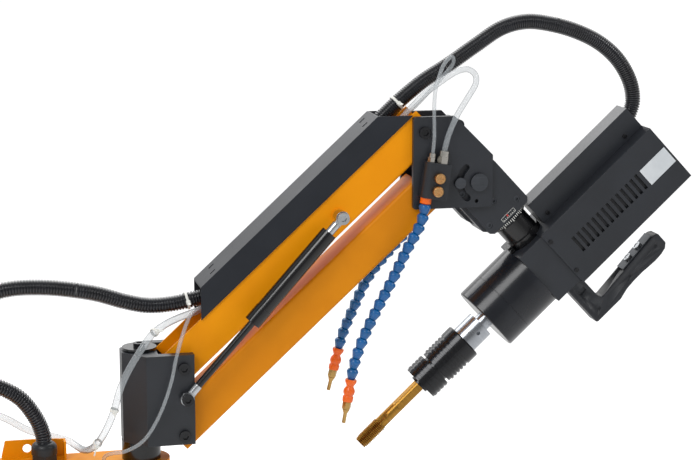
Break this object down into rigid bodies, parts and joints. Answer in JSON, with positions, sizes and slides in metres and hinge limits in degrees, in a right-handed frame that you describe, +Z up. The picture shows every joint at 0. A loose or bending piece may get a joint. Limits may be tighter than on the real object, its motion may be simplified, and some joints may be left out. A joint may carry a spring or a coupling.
{
  "type": "arm tapping machine",
  "caption": "Bench arm tapping machine: column and swinging arm, parallelogram arm with gas strut, tilting and turning head with quick-change chuck, handle and coolant hoses.",
  "frame": {"origin": "column axis on the base plate's underside", "axes": "+Z up along the column, arms along +X at rest, viewer's side at -Y"},
  "size_m": [1.3203, 0.22, 1.1057],
  "materials": {
    "orange_paint": "satin",
    "black_paint": "matte",
    "gloss_black": "gloss",
    "steel": "satin",
    "dark_steel": "satin",
    "bronze": "satin",
    "knob_brass": "satin",
    "tap_coating": "satin",
    "hose_plastic": "gloss",
    "nozzle_plastic": "gloss",
    "conduit_plastic": "matte",
    "black_plastic": "matte",
    "clear_tube": "gloss",
    "white_nylon": "matte",
    "plain_label": "matte"
  },
  "bodies": {
    "base": {"base_plate": "orange_paint", "column": "orange_paint", "column_shaft": "steel"},
    "first_arm": {"first_arm": "orange_paint", "hub_bearings": "steel", "post": "gloss_black", "swivel_cap": "black_paint", "cable_gland": "black_plastic", "cable_bracket": "orange_paint", "loop_hose_lower": "conduit_plastic", "rear_tubes_lower": "clear_tube"},
    "swivel": {"swivel_bracket": "black_paint", "swivel_bushes": "bronze", "shoulder_pins": "dark_steel"},
    "upper_beam": {"upper_beam": "orange_paint", "beam_cover": "black_paint", "loop_hose_upper": "conduit_plastic", "rear_tubes_upper": "clear_tube", "arch_hose_lower": "conduit_plastic", "cable_ties": "white_nylon"},
    "lower_beam": {"lower_beam": "orange_paint"},
    "strut_rod": {"strut_rod": "gloss_black", "strut_lower_eye": "steel"},
    "strut_barrel": {"strut_barrel": "gloss_black", "strut_upper_eye": "steel"},
    "head_bracket": {"front_head_plate": "black_paint", "rear_head_plate": "black_paint", "plate_spacers": "black_paint", "wrist_pins": "dark_steel", "tilt_pin": "dark_steel", "valve_block": "black_paint", "tube_fittings": "steel", "rear_outlet": "black_paint", "hose_outlets": "nozzle_plastic", "head_tubes": "clear_tube", "arch_hose_middle": "conduit_plastic"},
    "valve_knob_upper": {"valve_knob_upper": "knob_brass"},
    "valve_knob_lower": {"valve_knob_lower": "knob_brass"},
    "front_hose": {"front_hose": "hose_plastic"},
    "rear_hose": {"rear_hose": "hose_plastic"},
    "knuckle": {"knuckle_block": "black_paint", "lock_pin": "dark_steel"},
    "head": {"tick_ring": "black_paint", "rotary_barrel": "gloss_black", "gear_housing": "black_paint", "gearbox": "gloss_black", "servo_motor": "dark_steel", "motor_cover": "black_paint", "wiring_cover": "black_paint", "panel_screws": "steel", "label_plate": "plain_label", "handle": "black_plastic", "handle_plate": "dark_steel", "arch_hose_upper": "conduit_plastic"},
    "spindle": {"spindle": "steel", "chuck_body": "gloss_black", "tap": "tap_coating"},
    "chuck_sleeve": {"chuck_sleeve": "gloss_black"},
    "start_button": {"start_button": "steel"},
    "reverse_button": {"reverse_button": "steel"}
  },
  "joints": [
    {"name": "column_turn", "type": "hinge", "parent": "base", "child": "first_arm", "pos_m": [0, 0, 0.486], "axis": [0, 0, 1], "range_deg": [-170, 170]},
    {"name": "swivel_turn", "type": "hinge", "parent": "first_arm", "child": "swivel", "pos_m": [0.45, 0, 0.609], "axis": [0, 0, 1], "range_deg": [-135, 135], "deforming": ["loop_hose_lower", "rear_tubes_lower"]},
    {"name": "arm_lift", "type": "hinge", "parent": "swivel", "child": "upper_beam", "pos_m": [0.503, 0, 0.652], "axis": [0, -1, 0], "range_deg": [-70.5, 7.5], "deforming": ["loop_hose_upper", "rear_tubes_upper"]},
    {"name": "lower_link", "type": "hinge", "parent": "swivel", "child": "lower_beam", "pos_m": [0.503, 0, 0.56], "axis": [0, -1, 0], "range_deg": [-70.6, 7.6]},
    {"name": "strut_swing", "type": "hinge", "parent": "swivel", "child": "strut_rod", "pos_m": [0.5055, -0.053, 0.613], "axis": [0, -1, 0], "range_deg": [-69.5, 7.9]},
    {"name": "strut_slide", "type": "slide", "parent": "strut_rod", "child": "strut_barrel", "axis": [0.6682, 0, 0.744], "range_m": [-0.0455, 0.005]},
    {"name": "wrist", "type": "hinge", "parent": "upper_beam", "child": "head_bracket", "pos_m": [0.83183, 0, 0.95331], "axis": [0, -1, 0], "range_deg": [-7.6, 70.6], "deforming": ["arch_hose_lower", "head_tubes"]},
    {"name": "head_tilt", "type": "hinge", "parent": "head_bracket", "child": "knuckle", "pos_m": [0.90753, 0, 0.88421], "axis": [0, -1, 0], "range_deg": [-20, 45], "deforming": ["arch_hose_middle"]},
    {"name": "head_rotate", "type": "hinge", "parent": "knuckle", "child": "head", "pos_m": [0.90753, 0, 0.88421], "axis": [0.682, 0, -0.7314], "range_deg": [-90, 90], "deforming": ["arch_hose_upper"]},
    {"name": "spindle_turn", "type": "hinge", "parent": "head", "child": "spindle", "pos_m": [1.01733, 0, 0.76646], "axis": [-0.7314, 0, -0.682], "continuous": true},
    {"name": "sleeve_pull", "type": "slide", "parent": "spindle", "child": "chuck_sleeve", "axis": [-0.7314, 0, -0.682], "range_m": [-0.0025, 0], "stiffness_N_per_m": 3000, "springref_m": 0.001},
    {"name": "upper_knob_turn", "type": "hinge", "parent": "head_bracket", "child": "valve_knob_upper", "pos_m": [0.84624, -0.0356, 0.89466], "axis": [0, 1, 0], "range_deg": [0, 270]},
    {"name": "lower_knob_turn", "type": "hinge", "parent": "head_bracket", "child": "valve_knob_lower", "pos_m": [0.84366, -0.0356, 0.87735], "axis": [0, 1, 0], "range_deg": [0, 270]},
    {"name": "front_hose_swing", "type": "hinge", "parent": "head_bracket", "child": "front_hose", "pos_m": [0.82977, -0.0461, 0.85547], "axis": [0, -1, 0], "range_deg": [-8, 8]},
    {"name": "rear_hose_swing", "type": "hinge", "parent": "head_bracket", "child": "rear_hose", "pos_m": [0.84483, 0.0466, 0.85111], "axis": [0, -1, 0], "range_deg": [-5, 8]},
    {"name": "start_press", "type": "slide", "parent": "head", "child": "start_button", "axis": [0.7536, 0, -0.6574], "range_m": [0, 0.0015], "stiffness_N_per_m": 800, "springref_m": -0.001},
    {"name": "reverse_press", "type": "slide", "parent": "head", "child": "reverse_button", "axis": [0.7536, 0, -0.6574], "range_m": [0, 0.0015], "stiffness_N_per_m": 800, "springref_m": -0.001}
  ],
  "couplings": [
    {"joint": "lower_link", "follows": "arm_lift", "ratio": 1},
    {"joint": "strut_swing", "follows": "arm_lift", "ratio": 0.978},
    {"joint": "strut_slide", "follows": "arm_lift", "m_per_rad": 0.03617},
    {"joint": "wrist", "follows": "arm_lift", "ratio": -1}
  ]
}
